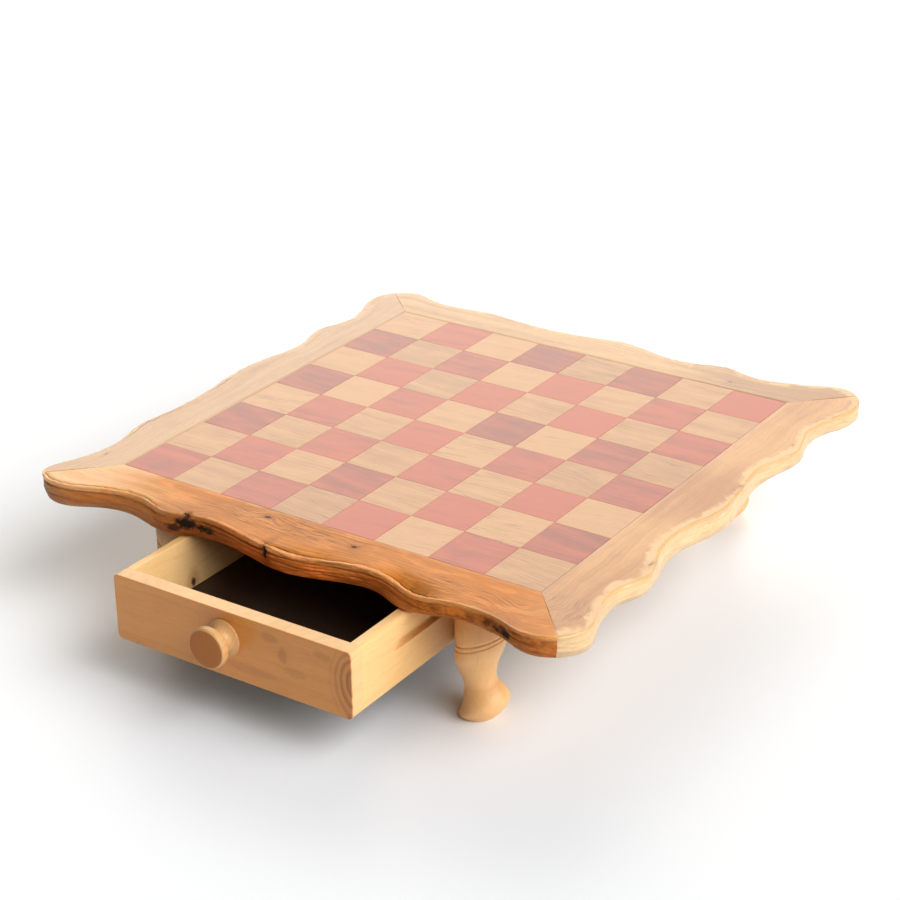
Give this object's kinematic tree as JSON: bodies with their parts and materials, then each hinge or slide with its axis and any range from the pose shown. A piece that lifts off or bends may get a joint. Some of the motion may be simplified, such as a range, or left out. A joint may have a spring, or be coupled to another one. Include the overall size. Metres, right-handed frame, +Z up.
{
  "type": "chess table",
  "caption": "Low chess table: an inlaid playing field in a mitred live-edge wood frame on short carved legs, with a slide-out drawer under the top for the chessmen",
  "frame": {"origin": "centre of the playing surface, on its upper face", "axes": "+X along the player's front edge from the a file to the h file, +Y away from the player at the drawer side, +Z up out of the playing surface"},
  "size_m": [0.3876, 0.4508, 0.092],
  "materials": {
    "live_edge_wood": "satin varnish over streaked grain, knots and paler sapwood",
    "dark_square_wood": "red-stained wood under satin varnish",
    "light_square_wood": "natural pale wood under satin varnish",
    "plywood": "plain plywood, unvarnished",
    "pine": "pale varnished pine",
    "hardboard": "dark brown hardboard, smooth side up",
    "leg_wood": "carved and varnished pale wood",
    "hardwood": "plain waxed hardwood",
    "steel": "zinc-plated steel"
  },
  "bodies": {
    "table": {"live_edge_front": "live_edge_wood", "live_edge_right": "live_edge_wood", "live_edge_back": "live_edge_wood", "live_edge_left": "live_edge_wood", "core_board": "plywood", "dark_squares_rank_1": "dark_square_wood", "light_squares_rank_1": "light_square_wood", "dark_squares_rank_2": "dark_square_wood", "light_squares_rank_2": "light_square_wood", "dark_squares_rank_3": "dark_square_wood", "light_squares_rank_3": "light_square_wood", "dark_squares_rank_4": "dark_square_wood", "light_squares_rank_4": "light_square_wood", "dark_squares_rank_5": "dark_square_wood", "light_squares_rank_5": "light_square_wood", "dark_squares_rank_6": "dark_square_wood", "light_squares_rank_6": "light_square_wood", "dark_squares_rank_7": "dark_square_wood", "light_squares_rank_7": "light_square_wood", "dark_squares_rank_8": "dark_square_wood", "light_squares_rank_8": "light_square_wood", "case_left_side": "pine", "case_right_side": "pine", "case_back": "pine", "drawer_runner_left": "hardwood", "drawer_runner_right": "hardwood", "drawer_stop": "hardwood", "glue_blocks": "pine", "leg_front_left": "leg_wood", "leg_front_right": "leg_wood", "leg_back_left": "leg_wood", "leg_back_right": "leg_wood", "leg_bolts": "steel"},
    "drawer": {"drawer_front": "pine", "drawer_left_side": "pine", "drawer_right_side": "pine", "drawer_back": "pine", "drawer_bottom": "hardboard", "drawer_dowels": "hardwood", "drawer_knob": "leg_wood", "knob_screw": "steel"}
  },
  "joints": [
    {"name": "drawer_slide", "type": "slide", "parent": "table", "child": "drawer", "axis": [0, -1, 0], "range_m": [-0.1, 0.08]}
  ]
}
